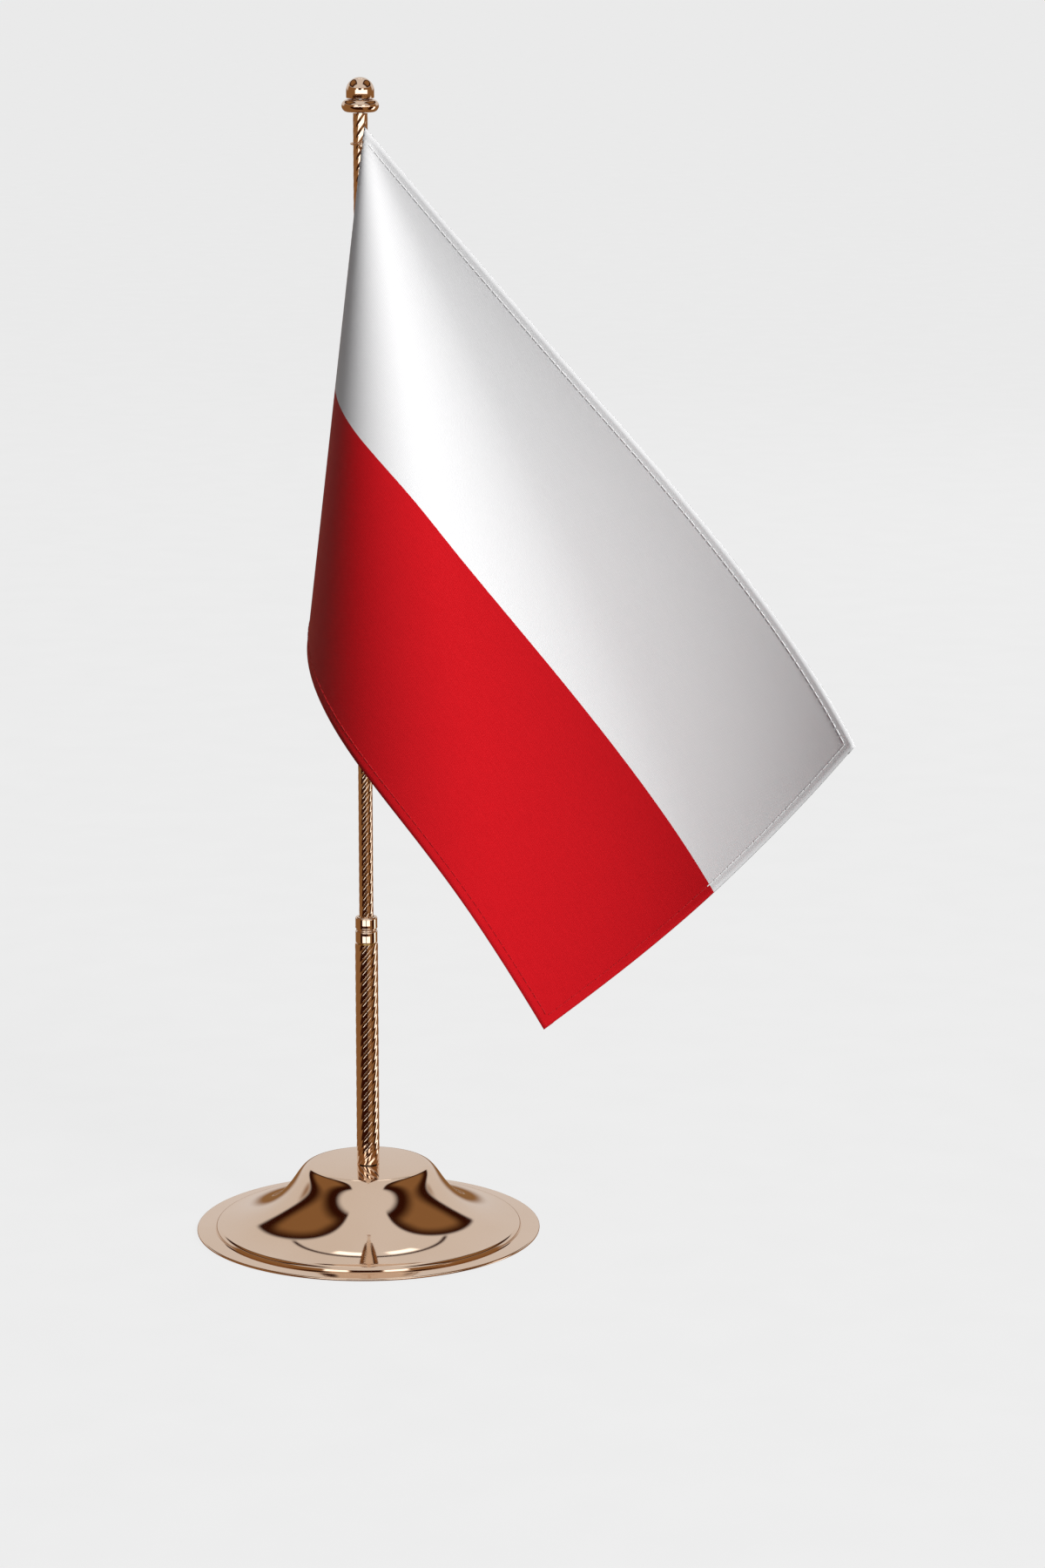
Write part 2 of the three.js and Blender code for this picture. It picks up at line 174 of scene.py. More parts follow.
def bell_flank(inset, steps):
    """The bell's section, a cubic curve from the flat top to the bead, moved inwards by `inset`."""
    top = Vector((PLATEAU_R, shell_top))
    shoulder = Vector((PLATEAU_R + SHOULDER_REACH * flank_run, shell_top - SHOULDER_DROP))
    waist = Vector((PLATEAU_R + WAIST_REACH * flank_run, bead_top + WAIST_RISE * (shell_top - bead_top)))
    foot = Vector((bead_crest_r, bead_top))
    points = []
    for k in range(steps + 1):
        done = k / steps
        left = 1 - done
        at = top * left ** 3 + foot * done ** 3
        at += shoulder * 3 * left ** 2 * done + waist * 3 * left * done ** 2
        along = (shoulder - top) * left ** 2 + (foot - waist) * done ** 2
        along += (waist - shoulder) * 2 * left * done
        along.normalize()
        points.append((at.x + along.y * inset, at.y - along.x * inset))
    return points


bead_centre = (bead_crest_r + BEAD_EDGE_OUT, bead_top - BEAD_EDGE_R)
bead_edge = arc_points(bead_centre, BEAD_EDGE_R, 84, 8, 12)
bead_foot = [(bead_centre[0] + BEAD_EDGE_R + BEAD_FOOT[0], lip_top + BEAD_FOOT[1]),
             (bead_outer + LIP_START, lip_top)]
rim = arc_points((shell_r - SHELL_WALL / 2, lip_bottom + SHELL_WALL / 2), SHELL_WALL / 2, 90, -90, 10)
hollow = [(bead_outer - HOLLOW_FOOT, lip_bottom),
          (bead_outer - HOLLOW_TOP, bead_top - SHELL_WALL - HOLLOW_TOP)]
inner_flank = bell_flank(SHELL_WALL, 40)[::-1]
shell_outline = [(BOLT_HOLE_R, shell_top)] + bell_flank(0.0, 72) + bead_edge + bead_foot + rim + hollow
shell_outline += inner_flank + [(BOLT_HOLE_R, shell_top - SHELL_WALL)]
plating = metal("plating", PLATING_LIGHT, PLATING_DARK, roughness=0.05, grain_scale=160.0, scratch=0.02)
base_shell = turned_piece("base_bell", shell_outline, plating, "base", 256)
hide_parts("base_shell")


# ---- ballast ----
# A rough casting of grey iron that fills the bell and keeps the stand upright. It is dropped
# in from below and held by the clamp bolt.
def paint(node, material):
    """Gives a carried-over piece its finish."""
    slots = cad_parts[node].data.materials
    slots.clear()
    slots.append(material)


cast_iron = metal("cast_iron", (0.20, 0.20, 0.21), (0.09, 0.09, 0.10), roughness=0.55,
                  grain_scale=700.0, scratch=0.9)
paint("base_ballast", cast_iron)


# ---- lower tube ----
# Drawn through a twisting die, which leaves eight rounded ribs that climb to the right like
# rope. The bore stays plain. It is plated with the base and stands on its flat top.
LOWER_RIBS = 8
LOWER_RIB_DEPTH = 0.085
LOWER_PITCH = 3.15
LOWER_BORE_R = 2.6


def turn_of(vert):
    """How far round the pole a point lies, from a start that no point sits on."""
    return (math.atan2(vert.co.y, vert.co.x) + 0.003) % math.tau


def rope_tube(name, node, ribs, rib_depth, pitch, bore_r, body, around, row=0.75):
    """Hollow tube: a lobed circle swept up the axis with a twist, with a plain bore inside."""
    low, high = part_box(node)
    outer = high.x / MM
    length = (high.z - low.z) / MM
    rows = round(length / row)
    twist = math.tau * length / (pitch * ribs)
    bm = bmesh.new()
    foot_rings = []
    mouth_rings = []
    for lobed in (True, False):
        ring = bmesh.ops.create_circle(bm, segments=around, radius=1.0)["verts"]
        for vert in ring:
            angle = math.atan2(vert.co.y, vert.co.x)
            valley = 1 - abs(math.sin(angle * ribs / 2))
            radius = outer - rib_depth * valley if lobed else bore_r
            vert.co = Vector((radius * math.cos(angle), radius * math.sin(angle), low.z / MM)) * MM
        edges = list({edge for vert in ring for edge in vert.link_edges})
        swept = bmesh.ops.spin(bm, geom=ring + edges, cent=(0, 0, 0), axis=(0, 0, 1),
                               dvec=(0, 0, length / rows * MM), angle=twist, steps=rows)
        foot_rings.append(sorted(ring, key=turn_of))
        mouth = [item for item in swept["geom_last"] if isinstance(item, bmesh.types.BMVert)]
        mouth_rings.append(sorted(mouth, key=turn_of))
    for outside, inside in (foot_rings, mouth_rings):
        for k in range(around):
            bm.faces.new((outside[k - 1], outside[k], inside[k], inside[k - 1]))
    bmesh.ops.recalc_face_normals(bm, faces=bm.faces[:])
    tube = finished(name, bm, plating, body, 60.0)
    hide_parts(node)
    return tube


rope_tube("lower_pole", "lower_tube", LOWER_RIBS, LOWER_RIB_DEPTH, LOWER_PITCH, LOWER_BORE_R,
          "base", around=128)


# ---- foot plug ----
# A brass plug turned from bar and pressed into the lower tube's foot, threaded for the bolt.
# Its finish shows the lathe's fine rings.
turned_brass = metal("turned_brass", (0.72, 0.58, 0.24), (0.60, 0.46, 0.17), roughness=0.25,
                     grain_scale=120.0, scratch=0.2, grain=(1.0, 1.0, 40.0))
paint("foot_plug", turned_brass)


# ---- clamp bolt and washer ----
# A zinc-plated steel bolt and washer from a stock bin. The bolt comes up through the ballast
# and pulls the pole down on the base.
zinc = metal("zinc_plate", (0.66, 0.67, 0.70), (0.52, 0.53, 0.56), roughness=0.3,
             grain_scale=300.0, scratch=0.15, grain=(1.0, 1.0, 6.0))
paint("clamp_washer", zinc)
paint("clamp_bolt", zinc)


# ---- closing plate ----
# A pressed disc of the same zinc-plated steel that shuts the bell under the ballast and gives
# the felt a flat face to stick to.
paint("base_closing_plate", zinc)


# ---- felt pad ----
# A punched disc of dark pressed felt, glued under the closing plate so that the stand doesn't
# mark a desk. Its cut edges are a little rounded.
FELT_FOOT_EDGE = 0.35
FELT_TOP_EDGE = 0.25
FELT_LIGHT = (0.05, 0.052, 0.06)
FELT_DARK = (0.012, 0.013, 0.016)


def maths(nodes, links, operation, *values):
    """A Math node on numbers or other nodes' outputs."""
    node = nodes.new("ShaderNodeMath")
    node.operation = operation
    for socket, value in zip(node.inputs, values):
        if isinstance(value, (int, float)):
            socket.default_value = value
        else:
            links.new(value, socket)
    return node.outputs["Value"]


felt, nodes, links = new_material("pressed_felt")
fibres = object_noise(nodes, links, 1400.0, detail=8.0)
clumps = object_noise(nodes, links, 220.0, detail=4.0, stretch=(1.0, 2.5, 1.0))
nap = maths(nodes, links, "MULTIPLY_ADD", fibres, 0.5, clumps)
shader = nodes["Principled BSDF"]
links.new(ramp_between(nodes, links, nap, FELT_DARK, FELT_LIGHT), shader.inputs["Base Color"])
shader.inputs["Roughness"].default_value = 0.95
shader.inputs["Sheen Weight"].default_value = 0.4
add_bump(nodes, links, nap, strength=0.8, distance=0.3 * MM)

felt_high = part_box("base_felt_pad")[1]
felt_r = felt_high.x / MM
felt_thick = felt_high.z / MM
felt_outline = [(0.0, 0.0)]
felt_outline += arc_points((felt_r - FELT_FOOT_EDGE, FELT_FOOT_EDGE), FELT_FOOT_EDGE, -90, 0, 4)
felt_outline += arc_points((felt_r - FELT_TOP_EDGE, felt_thick - FELT_TOP_EDGE), FELT_TOP_EDGE, 0, 90, 4)
felt_outline += [(0.0, felt_thick)]
felt_disc = turned_piece("felt_disc", felt_outline, felt, "base", 160)
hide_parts("base_felt_pad")


# ---- ferrule ----
# A short smooth collar pressed on the mouth of the lower tube, rolled in at the top and crimped
# with one groove to hold the nylon bush. It is plated with the tubes.
FERRULE_BORE_R = 2.6
MOUTH_R = 2.23
FOOT_EDGE_R = 0.25
MOUTH_EDGE_R = 0.55
MOUTH_LIP = 0.5
MOUTH_EDGE = 0.1
GROOVE_R = 0.42
GROOVE_OUT = 0.18
GROOVE_SHOULDER_R = 0.24
GROOVE_SHOULDER_IN = 0.2
GROOVE_SHOULDER_UP = 0.62
GROOVE_BAND = 1.0
ferrule_low, ferrule_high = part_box("ferrule")
ferrule_r = ferrule_high.x / MM
foot = ferrule_low.z / MM
mouth = ferrule_high.z / MM
middle = (foot + mouth) / 2
ferrule_outline = [(FERRULE_BORE_R, foot)]
ferrule_outline += arc_points((ferrule_r - FOOT_EDGE_R, foot + FOOT_EDGE_R), FOOT_EDGE_R, -90, 0, 5)
ferrule_outline += [(ferrule_r, foot + up) for up in (0.35, 0.6, 1.0, 1.6, 2.2)]
shoulder_r = ferrule_r - GROOVE_SHOULDER_IN
ferrule_outline += [(ferrule_r, middle - GROOVE_BAND)]
ferrule_outline += arc_points((shoulder_r, middle - GROOVE_SHOULDER_UP), GROOVE_SHOULDER_R, 0, 70, 4)
ferrule_outline += arc_points((ferrule_r + GROOVE_OUT, middle), GROOVE_R, 230, 130, 8)
ferrule_outline += arc_points((shoulder_r, middle + GROOVE_SHOULDER_UP), GROOVE_SHOULDER_R, -70, 0, 4)
ferrule_outline += [(ferrule_r, middle + GROOVE_BAND)]
ferrule_outline += [(ferrule_r, mouth - down) for down in (2.2, 1.6, 1.1, 0.8, 0.65)]
ferrule_outline += arc_points((ferrule_r - MOUTH_EDGE_R, mouth - MOUTH_EDGE_R), MOUTH_EDGE_R, 0, 90, 8)
ferrule_outline += [(MOUTH_R + MOUTH_EDGE, mouth), (MOUTH_R, mouth - MOUTH_EDGE)]
ferrule_outline += [(MOUTH_R, mouth - MOUTH_LIP), (FERRULE_BORE_R, mouth - MOUTH_LIP)]
ferrule = turned_piece("ferrule_collar", ferrule_outline, plating, "base")
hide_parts("ferrule")


# ---- guide bush ----
# A moulded bush of natural nylon, pushed in before the ferrule is crimped. The upper tube
# slides and turns in it.
nylon, nodes, links = new_material("moulded_nylon")
mottle = object_noise(nodes, links, 400.0)
shader = nodes["Principled BSDF"]
links.new(ramp_between(nodes, links, mottle, (0.72, 0.70, 0.64), (0.80, 0.78, 0.73)),
          shader.inputs["Base Color"])
shader.inputs["Roughness"].default_value = 0.45
add_bump(nodes, links, mottle, strength=0.1, distance=0.05 * MM)
paint("guide_bush", nylon)


# ---- tail plug and friction sleeve ----
# A turned brass plug in the upper tube's foot, and the split brass sleeve on its neck that
# rubs in the lower tube and holds the height.
paint("tail_plug", turned_brass)
paint("friction_sleeve", turned_brass)


# ---- upper tube ----
# The same twisted stock a size down, with six ribs, plated all over. It slides and turns in
# the lower tube.
UPPER_RIBS = 6
UPPER_RIB_DEPTH = 0.065
UPPER_PITCH = 3.0
UPPER_BORE_R = 1.6
rope_tube("upper_pole_tube", "upper_tube", UPPER_RIBS, UPPER_RIB_DEPTH, UPPER_PITCH, UPPER_BORE_R,
          "upper_pole", around=96)


# ---- top plug and stud ----
# A threaded brass plug pressed into the top of the upper tube, and the zinc-plated stud in it
# that the finial screws down on.
paint("top_plug", turned_brass)
paint("finial_stud", zinc)


# ---- finial flange ----
# A round-edged disc turned from bar and plated, with a shallow step on its top face that the
# cap sits over. The stud passes through its bore.
STUD_HOLE_R = 1.08
FLANGE_STEP_R = 3.6
FLANGE_STEP = 0.15
flange_low, flange_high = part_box("finial_flange")
flange_foot = flange_low.z / MM
flange_top = flange_high.z / MM
edge_r = (flange_top - flange_foot) / 2
edge_centre = (flange_high.x / MM - edge_r, flange_foot + edge_r)
flange_outline = [(STUD_HOLE_R, flange_foot)] + arc_points(edge_centre, edge_r, -90, 90, 24)
flange_outline += [(FLANGE_STEP_R, flange_top), (FLANGE_STEP_R - FLANGE_STEP, flange_top - FLANGE_STEP)]
flange_outline += [(STUD_HOLE_R, flange_top - FLANGE_STEP)]
flange = turned_piece("finial_collar", flange_outline, plating, "upper_pole")
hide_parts("finial_flange")


# ---- finial cap ----
# A domed cap nut turned from bar and plated, with a short straight side and a blind hole for
# the stud. It screws down and holds the flange.
CAP_SIDE_SHARE = 0.36
CAP_CROWN = 2.2
CAP_EDGE_R = 0.3
CAP_FOOT_IN = 0.5
DOME_STEPS = 28
cap_low, cap_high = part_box("finial_cap")
cap_r = cap_high.x / MM
cap_foot = cap_low.z / MM
cap_top = cap_high.z / MM
dome_foot = cap_foot + (cap_top - cap_foot) * CAP_SIDE_SHARE
climb = [math.pi / 2 * k / DOME_STEPS for k in range(DOME_STEPS)]
dome = [(cap_r * math.cos(turn), dome_foot + (cap_top - dome_foot) * math.sin(turn)) for turn in climb]
cap_outline = [(STUD_HOLE_R, cap_foot), (cap_r - CAP_FOOT_IN, cap_foot)]
cap_outline += arc_points((cap_r - CAP_EDGE_R, cap_foot + CAP_EDGE_R), CAP_EDGE_R, -80, 0, 5)
cap_outline += dome + [(0.0, cap_top)]
cap_outline += [(0.0, cap_top - CAP_CROWN), (STUD_HOLE_R, cap_top - CAP_CROWN)]
cap = turned_piece("finial_dome", cap_outline, plating, "upper_pole")
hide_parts("finial_cap")


# ---- flag cloth ----
# A 115 x 230 mm panel of polyester satin, white over red, hung from its top hoist corner. It
# lies in one pleat in front of the pole, rolls round at the left and flies out to the right.
FLAG_W = 115.0
FLAG_L = 230.0
CLOTH_THICK = 0.28
CLOTH_COLUMNS = 184
CLOTH_ROWS = 92
APEX = Vector((1.2, -4.5, 319.7))
FIRST_HEADING = 21.9            # degrees, of the section as it leaves the hoist
FOLD_ARCS = [(7.8, 0), (9.1, -194), (10.3, 0), (7.4, 79),
             (12.8, 45.9), (12.8, 67.7), (16.0, -43.8), (13.8, -11.9)]      # degrees along, degrees of bend
FOLD_SOFTNESS = 3.0             # degrees over which the arcs ease into each other
FACE_START = 34.6               # degrees of the fan that the pleat takes up
PLEAT_OPENS = (8.0, 34.0)       # mm from the corner where the pleat starts and is full
LIFT = 0.7                      # degrees the face is lifted, for each 100 mm out
CURL = 4.9                      # degrees the fly curls forward at 100 mm past the start
CURL_START = 110.0
RIPPLE = 0.5
RIPPLE_GROWS = (60.0, 200.0)
FAN_STEPS = 720
NORMAL_SPAN = 0.6
WHITE_LIGHT = (0.90, 0.90, 0.90)
WHITE_DARK = (0.84, 0.84, 0.85)
RED_LIGHT = (0.66, 0.008, 0.014)
RED_DARK = (0.42, 0.003, 0.007)


def turned_by(angle):
    """Degrees the cloth's section has turned from its start to `angle`."""
    total = 0.0
    start = 0.0
    for length, turn in FOLD_ARCS:
        total += turn * min(max((angle - start) / length, 0.0), 1.0)
        start += length
    return total


def fan_of_rulings():
    """Unit vectors of the cloth's straight rulings, from the hoist to the top edge."""
    along = Vector((0, 0, -1))
    start = math.radians(FIRST_HEADING)
    heading = Vector((math.cos(start), math.sin(start), 0))
    step = math.radians(90 / FAN_STEPS)
    fan = [along.copy()]
    for k in range(FAN_STEPS):
        bend = turned_by((k + 1) * 90 / FAN_STEPS) - turned_by(k * 90 / FAN_STEPS)
        half_bend = math.radians(bend) / 2
        heading.rotate(Matrix.Rotation(-half_bend, 3, along))
        axis = along.cross(heading).normalized()
        along.rotate(Matrix.Rotation(step, 3, axis))
        heading.rotate(Matrix.Rotation(step, 3, axis))
        heading.rotate(Matrix.Rotation(-half_bend, 3, along))
        fan.append(along.copy())
    return fan


def softened(fan, width):
    """The fan with its arcs eased into each other over `width` degrees."""
    reach = round(width / 90 * FAN_STEPS / 2)
    eased = []
    for k in range(len(fan)):
        near = fan[max(0, k - reach):k + reach + 1]
        if k < reach or k + reach >= len(fan):
            near = [fan[k]]
        eased.append(sum(near, Vector()).normalized())
    return eased


rulings = softened(fan_of_rulings(), FOLD_SOFTNESS)
face_edge = rulings[round(FACE_START / 90 * FAN_STEPS)]


def smooth_step(value, low, high):
    share = min(max((value - low) / (high - low), 0.0), 1.0)
    return share * share * (3 - 2 * share)


def cloth_point(out, down):
    """Where the cloth's point `out` from the hoist and `down` from the top edge hangs, in mm."""
    reach = math.hypot(out, down)
    angle = math.degrees(math.atan2(out, down)) if reach > 1e-9 else FACE_START
    at = min(angle / 90 * FAN_STEPS, FAN_STEPS - 1e-6)
    k = int(at)
    ray = rulings[k].lerp(rulings[k + 1], at - k)
    if angle < FACE_START:
        direct = rulings[0].lerp(face_edge, angle / FACE_START)
        ray = ray.lerp(direct, 1 - smooth_step(reach, *PLEAT_OPENS))
    ray.normalize()
    across = math.hypot(ray.x, ray.y)
    face_share = min(max((angle - FACE_START) / (90 - FACE_START), 0.0), 1.0)
    tilt = math.atan2(across, -ray.z) + math.radians(LIFT) * reach / 100 * face_share
    scale = math.sin(tilt) / across if across > 1e-9 else 0.0
    place = Vector((reach * ray.x * scale, reach * ray.y * scale, -reach * math.cos(tilt)))
    past = max(reach - CURL_START, 0.0) / 100
    place.rotate(Matrix.Rotation(-math.radians(CURL) * past * past * face_share, 3, "Z"))
    ripple = RIPPLE * math.sin(out * 0.055 + down * 0.02) * smooth_step(reach, *RIPPLE_GROWS)
    return APEX + place + Vector((0, ripple, 0))


def cloth_normal(out, down):
    """Unit normal of the cloth, pointing to its front face."""
    right = cloth_point(min(out + NORMAL_SPAN, FLAG_L), down) - cloth_point(max(out - NORMAL_SPAN, 0.0), down)
    fall = cloth_point(out, min(down + NORMAL_SPAN, FLAG_W)) - cloth_point(out, max(down - NORMAL_SPAN, 0.0))
    return fall.cross(right).normalized()


def cloth_strip(bm, outs, downs, columns, rows, lift=0.0):
    """A grid of cloth between two lengths and two depths, lifted off the middle surface by `lift`."""
    grid = bmesh.ops.create_grid(bm, x_segments=columns, y_segments=rows, size=0.5)["verts"]
    layer = bm.loops.layers.uv.get("cloth") or bm.loops.layers.uv.new("cloth")
    flat = {}
    for vert in grid:
        out = outs[0] + (vert.co.x + 0.5) * (outs[1] - outs[0])
        down = downs[0] + (0.5 - vert.co.y) * (downs[1] - downs[0])
        flat[vert] = (out, down)
    for vert, (out, down) in flat.items():
        vert.co = (cloth_point(out, down) + cloth_normal(out, down) * lift) * MM
    for face in {face for vert in grid for face in vert.link_faces}:
        for loop in face.loops:
            out, down = flat[loop.vert]
            loop[layer].uv = (out * MM, down * MM)


def mixed(nodes, links, factor, first, second):
    """A colour mix of two colours or other nodes' outputs."""
    mix = nodes.new("ShaderNodeMix")
    mix.data_type = "RGBA"
    links.new(factor, mix.inputs["Factor"])
    for socket, value in ((mix.inputs["A"], first), (mix.inputs["B"], second)):
        if isinstance(value, tuple):
            socket.default_value = (*value, 1.0)
        else:
            links.new(value, socket)
    return mix.outputs["Result"]


def thread_waves(nodes, links, vector, scale, distortion):
    """Fine wavy lines, one for each thread or twill line of a weave."""
    waves = nodes.new("ShaderNodeTexWave")
    waves.inputs["Scale"].default_value = scale
    waves.inputs["Distortion"].default_value = distortion
    links.new(vector, waves.inputs["Vector"])
    return waves


flag_satin, nodes, links = new_material("flag_satin")
shader = nodes["Principled BSDF"]
cloth_map = nodes.new("ShaderNodeUVMap")
cloth_map.uv_map = "cloth"
twill_turn = nodes.new("ShaderNodeMapping")
twill_turn.inputs["Rotation"].default_value = (0, 0, math.radians(27))
links.new(cloth_map.outputs["UV"], twill_turn.inputs["Vector"])
twill = thread_waves(nodes, links, twill_turn.outputs["Vector"], 750.0, 1.2)
twill.inputs["Detail"].default_value = 2.0
twill.inputs["Detail Scale"].default_value = 3.0
weft = thread_waves(nodes, links, cloth_map.outputs["UV"], 1100.0, 0.8)
weft.bands_direction = "Y"
slub_stretch = nodes.new("ShaderNodeMapping")
slub_stretch.inputs["Scale"].default_value = (0.25, 2.0, 1.0)
links.new(cloth_map.outputs["UV"], slub_stretch.inputs["Vector"])
slub = nodes.new("ShaderNodeTexNoise")
slub.inputs["Scale"].default_value = 900.0
slub.inputs["Detail"].default_value = 4.0
links.new(slub_stretch.outputs["Vector"], slub.inputs["Vector"])
weave = maths(nodes, links, "MULTIPLY", twill.outputs["Fac"], weft.outputs["Fac"])
thread_height = maths(nodes, links, "MULTIPLY_ADD", slub.outputs["Fac"], 0.35, weave)
white = ramp_between(nodes, links, thread_height, WHITE_DARK, WHITE_LIGHT, 0.0, 0.75)
red = ramp_between(nodes, links, thread_height, RED_DARK, RED_LIGHT, 0.0, 0.75)
split = nodes.new("ShaderNodeSeparateXYZ")
links.new(cloth_map.outputs["UV"], split.inputs["Vector"])
lower_half = maths(nodes, links, "GREATER_THAN", split.outputs["Y"], FLAG_W / 2 * MM)
links.new(mixed(nodes, links, lower_half, white, red), shader.inputs["Base Color"])
shader.inputs["Roughness"].default_value = 0.55
shader.inputs["Specular IOR Level"].default_value = 0.25
add_bump(nodes, links, thread_height, strength=0.35, distance=0.08 * MM)


def sewn_cloth(name, bm):
    """A piece of the flag's satin with its thickness, half to each side."""
    piece = finished(name, bm, flag_satin, "flag", 180.0)
    wall = piece.modifiers.new("thickness", "SOLIDIFY")
    wall.thickness = CLOTH_THICK * MM
    wall.offset = 0.0
    piece.visible_glossy = False            # the plating mirrors the studio only
    return piece


bm = bmesh.new()
cloth_strip(bm, (0.0, FLAG_L), (0.0, FLAG_W), CLOTH_COLUMNS, CLOTH_ROWS)
bmesh.ops.remove_doubles(bm, verts=bm.verts[:], dist=1e-7)
flag_cloth = sewn_cloth("flag_panel", bm)
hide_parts("flag_cloth")


# ---- hems ----
# The top, fly and bottom edges are turned over once to the back; the hoist carries a wider,
# firmer band of the same cloth.
HEM = 3.2
HEM_GAP = 0.06
HEM_INSET = 0.15
HOIST_BAND = 5.0
BAND_INSET = 0.1
BAND_TOP = 6.0
hem_lift = -(CLOTH_THICK + HEM_GAP)
bm = bmesh.new()
cloth_strip(bm, (HOIST_BAND, FLAG_L), (HEM_INSET, HEM), CLOTH_COLUMNS, 3, hem_lift)
cloth_strip(bm, (HOIST_BAND, FLAG_L), (FLAG_W - HEM, FLAG_W - HEM_INSET), CLOTH_COLUMNS, 3, hem_lift)
cloth_strip(bm, (FLAG_L - HEM, FLAG_L - HEM_INSET), (HEM, FLAG_W - HEM), 3, CLOTH_ROWS, hem_lift)
flag_hem = sewn_cloth("flag_hem", bm)

bm = bmesh.new()
cloth_strip(bm, (BAND_INSET, HOIST_BAND), (BAND_TOP, FLAG_W - BAND_INSET), 5, 90, hem_lift)
hoist_band = sewn_cloth("hoist_band", bm)


# ---- stitching ----
# Lockstitch in matching polyester thread, one row inside each hem and one down the hoist band,
# about ten stitches to the inch.
STITCH = 2.0
STITCH_GAP = 0.55
THREAD_R = 0.16
THREAD_PROUD = 0.03
ROW_INSET = 0.7
HOIST_ROW_TOP = 8.0
HOIST_ROW_FOOT = 1.0


def thread_material(name, light, dark):
    material, nodes, links = new_material(name)
    ply = object_noise(nodes, links, 3000.0, detail=2.0)
    shader = nodes["Principled BSDF"]
    links.new(ramp_between(nodes, links, ply, dark, light), shader.inputs["Base Color"])
    shader.inputs["Roughness"].default_value = 0.5
    add_bump(nodes, links, ply, strength=0.3, distance=0.05 * MM)
    return material


def stitch(bm, start, end, lift):
    """One stitch: a short round bar of thread laid on the cloth between two flat points."""
    head = cloth_point(*start) + cloth_normal(*start) * lift
    tail = cloth_point(*end) + cloth_normal(*end) * lift
    turn = (tail - head).to_track_quat("Z", "Y").to_matrix().to_4x4()
    place = Matrix.Translation((head + tail) / 2 * MM) @ turn
    bmesh.ops.create_cone(bm, cap_ends=True, segments=6, radius1=THREAD_R * MM, radius2=THREAD_R * MM,
                          depth=(tail - head).length * MM, matrix=place)


def stitch_row(bm, start, end, keep):
    """A row of stitches on both faces between two flat points, where `keep` says so."""
    start, end = Vector(start), Vector(end)
    count = int((end - start).length / (STITCH + STITCH_GAP))
    step = (end - start) / count
    for k in range(count):
        head = start + step * k
        tail = head + step * (STITCH / (STITCH + STITCH_GAP))
        if keep(head):
            for lift in (CLOTH_THICK / 2 + THREAD_PROUD, hem_lift - CLOTH_THICK / 2 - THREAD_PROUD):
                stitch(bm, tuple(head), tuple(tail), lift)


white_thread = thread_material("white_thread", (0.88, 0.88, 0.88), (0.78, 0.78, 0.79))
red_thread = thread_material("red_thread", (0.60, 0.008, 0.015), (0.42, 0.004, 0.01))
row = HEM - ROW_INSET
hoist_row = HOIST_BAND - ROW_INSET
for name, material, keep in (("white_stitching", white_thread, lambda place: place.y < FLAG_W / 2),
                             ("red_stitching", red_thread, lambda place: place.y >= FLAG_W / 2)):
    bm = bmesh.new()
    stitch_row(bm, (HOIST_BAND, row), (FLAG_L - row, row), keep)
    stitch_row(bm, (HOIST_BAND, FLAG_W - row), (FLAG_L - row, FLAG_W - row), keep)
    stitch_row(bm, (FLAG_L - row, row), (FLAG_L - row, FLAG_W - row), keep)
    stitch_row(bm, (hoist_row, HOIST_ROW_TOP), (hoist_row, FLAG_W - HOIST_ROW_FOOT), keep)
    stitching = finished(name, bm, material, "flag", 50.0)
    stitching.visible_glossy = False


# ---- hoist rings and eyelets ----
# Three thin rings of plated wire, bent oval round the pole, and the small pressed eyelets in
# the hoist band that they pass through. The top one carries the flag.
WIRE_R = 0.3
RING_BACK = 2.45
RING_SIDE_R = 2.75
EYELET_OUT = 2.3
EYELET_R = 1.05
EYELET_WIRE_R = 0.32
EYELET_HEIGHT = 1.8             # as a multiple of its rolled edge's thickness


def wire_loop(loop_r, wire_r, around_wire, around_loop):
    """A closed round loop of wire, lying flat about the origin."""
    bm = bmesh.new()
    section = bmesh.ops.create_circle(bm, segments=around_wire, radius=wire_r * MM)["verts"]
    bmesh.ops.rotate(bm, verts=section, cent=(0, 0, 0), matrix=Matrix.Rotation(math.pi / 2, 3, "X"))
    bmesh.ops.translate(bm, verts=section, vec=(loop_r * MM, 0, 0))
    bmesh.ops.spin(bm, geom=section + bm.edges[:], cent=(0, 0, 0), axis=(0, 0, 1), angle=math.tau,
                   steps=around_loop, use_merge=True)
    return bm


def set_loop(bm, name, scale, turn, centre):
    """Stretches a loop, turns it and puts it in its place, in mm."""
    bmesh.ops.scale(bm, verts=bm.verts[:], vec=scale)
    bmesh.ops.rotate(bm, verts=bm.verts[:], cent=(0, 0, 0), matrix=turn)
    bmesh.ops.translate(bm, verts=bm.verts[:], vec=centre * MM)
    bmesh.ops.recalc_face_normals(bm, faces=bm.faces[:])
    return finished(name, bm, plating, "flag", 60.0)


